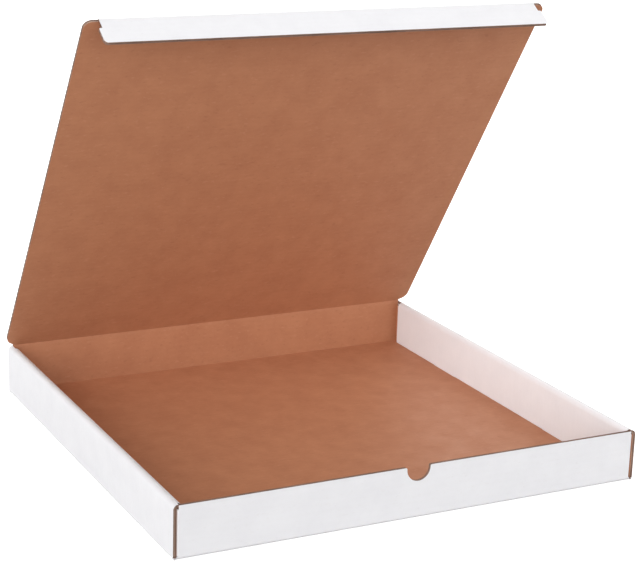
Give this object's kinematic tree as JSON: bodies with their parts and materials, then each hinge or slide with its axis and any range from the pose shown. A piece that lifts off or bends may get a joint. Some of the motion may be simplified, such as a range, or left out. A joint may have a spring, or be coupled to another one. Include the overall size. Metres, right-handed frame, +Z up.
{
  "type": "corrugated mailer box",
  "caption": "Shallow square corrugated mailer box, white outside and kraft inside, with rolled double side walls, a thumb notch and a hinged lid with a tuck flap.",
  "frame": {"origin": "middle of the tray's underside, on the surface that the box stands on", "axes": "+X to the right along the lid's crease, +Y from the front wall to the rear wall, +Z up"},
  "size_m": [0.483, 0.463, 0.4319],
  "materials": {
    "tray_board": "matt white liner outside and on the inner side panels, kraft liner on the floor and the end walls",
    "lid_board": "kraft liner inside, matt white liner outside",
    "flap_board": "matt white liner outside, kraft liner inside"
  },
  "bodies": {
    "tray": {"tray": "tray_board"},
    "lid": {"lid": "lid_board"},
    "tuck_flap": {"tuck_flap": "flap_board"}
  },
  "joints": [
    {"name": "lid_hinge", "type": "hinge", "parent": "tray", "child": "lid", "pos_m": [0, 0.23, 0.0529], "axis": [-1, 0, 0], "range_deg": [-56, 124]},
    {"name": "tuck_flap_fold", "type": "hinge", "parent": "lid", "child": "tuck_flap", "pos_m": [0, -0.02466, 0.43044], "axis": [-1, 0, 0], "range_deg": [0, 90]}
  ]
}
